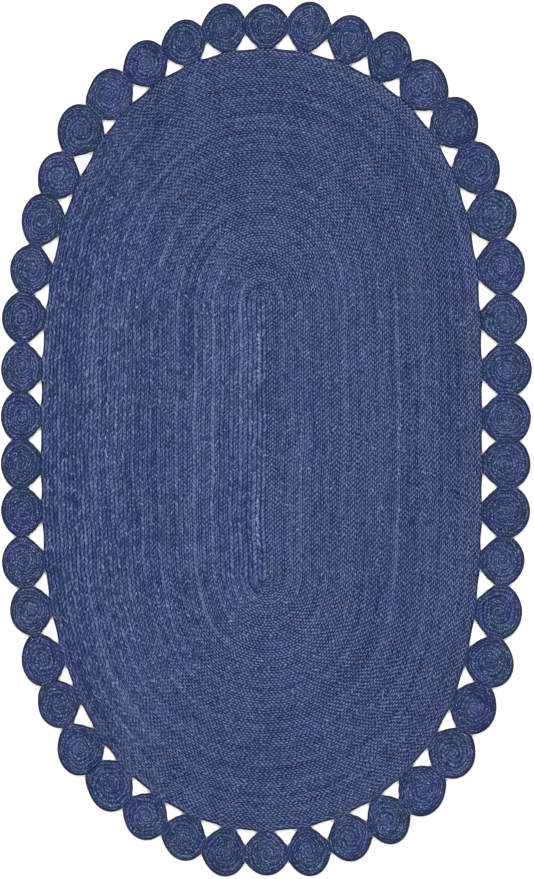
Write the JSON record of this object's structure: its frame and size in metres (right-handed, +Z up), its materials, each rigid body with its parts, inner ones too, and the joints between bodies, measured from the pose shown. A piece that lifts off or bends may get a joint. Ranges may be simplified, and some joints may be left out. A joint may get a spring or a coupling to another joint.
{
  "type": "oval braided rug with a border of coiled discs",
  "caption": "Flat oval rug of one braid wound in a spiral and sewn edge to edge, with a scalloped border of small coiled discs and three-cornered gaps between them.",
  "frame": {"origin": "middle of the rug's outer size, on the surface that it lies on", "axes": "+Z up out of the rug's face, +Y along its length, +X across it"},
  "size_m": [0.9232, 1.5226, 0.008],
  "materials": {
    "body_yarn": "matt dyed jute braid, mottled mid blue",
    "coil_yarn": "matt dyed jute braid, finer and a little darker blue"
  },
  "bodies": {
    "root": {"braided_body": "body_yarn", "coil_above_01": "coil_yarn", "coil_above_02": "coil_yarn", "coil_above_03": "coil_yarn", "coil_above_04": "coil_yarn", "coil_above_05": "coil_yarn", "coil_above_06": "coil_yarn", "coil_above_07": "coil_yarn", "coil_above_08": "coil_yarn", "coil_above_09": "coil_yarn", "coil_above_10": "coil_yarn", "coil_above_11": "coil_yarn", "coil_above_12": "coil_yarn", "coil_above_13": "coil_yarn", "coil_above_14": "coil_yarn", "coil_above_15": "coil_yarn", "coil_above_16": "coil_yarn", "coil_above_17": "coil_yarn", "coil_above_18": "coil_yarn", "coil_above_19": "coil_yarn", "coil_above_20": "coil_yarn", "coil_above_21": "coil_yarn", "coil_above_22": "coil_yarn", "coil_above_23": "coil_yarn", "coil_below_01": "coil_yarn", "coil_below_02": "coil_yarn", "coil_below_03": "coil_yarn", "coil_below_04": "coil_yarn", "coil_below_05": "coil_yarn", "coil_below_06": "coil_yarn", "coil_below_07": "coil_yarn", "coil_below_08": "coil_yarn", "coil_below_09": "coil_yarn", "coil_below_10": "coil_yarn", "coil_below_11": "coil_yarn", "coil_below_12": "coil_yarn", "coil_below_13": "coil_yarn", "coil_below_14": "coil_yarn", "coil_below_15": "coil_yarn", "coil_below_16": "coil_yarn", "coil_below_17": "coil_yarn", "coil_below_18": "coil_yarn", "coil_below_19": "coil_yarn", "coil_below_20": "coil_yarn", "coil_below_21": "coil_yarn", "coil_below_22": "coil_yarn", "coil_below_23": "coil_yarn"}
  },
  "joints": []
}
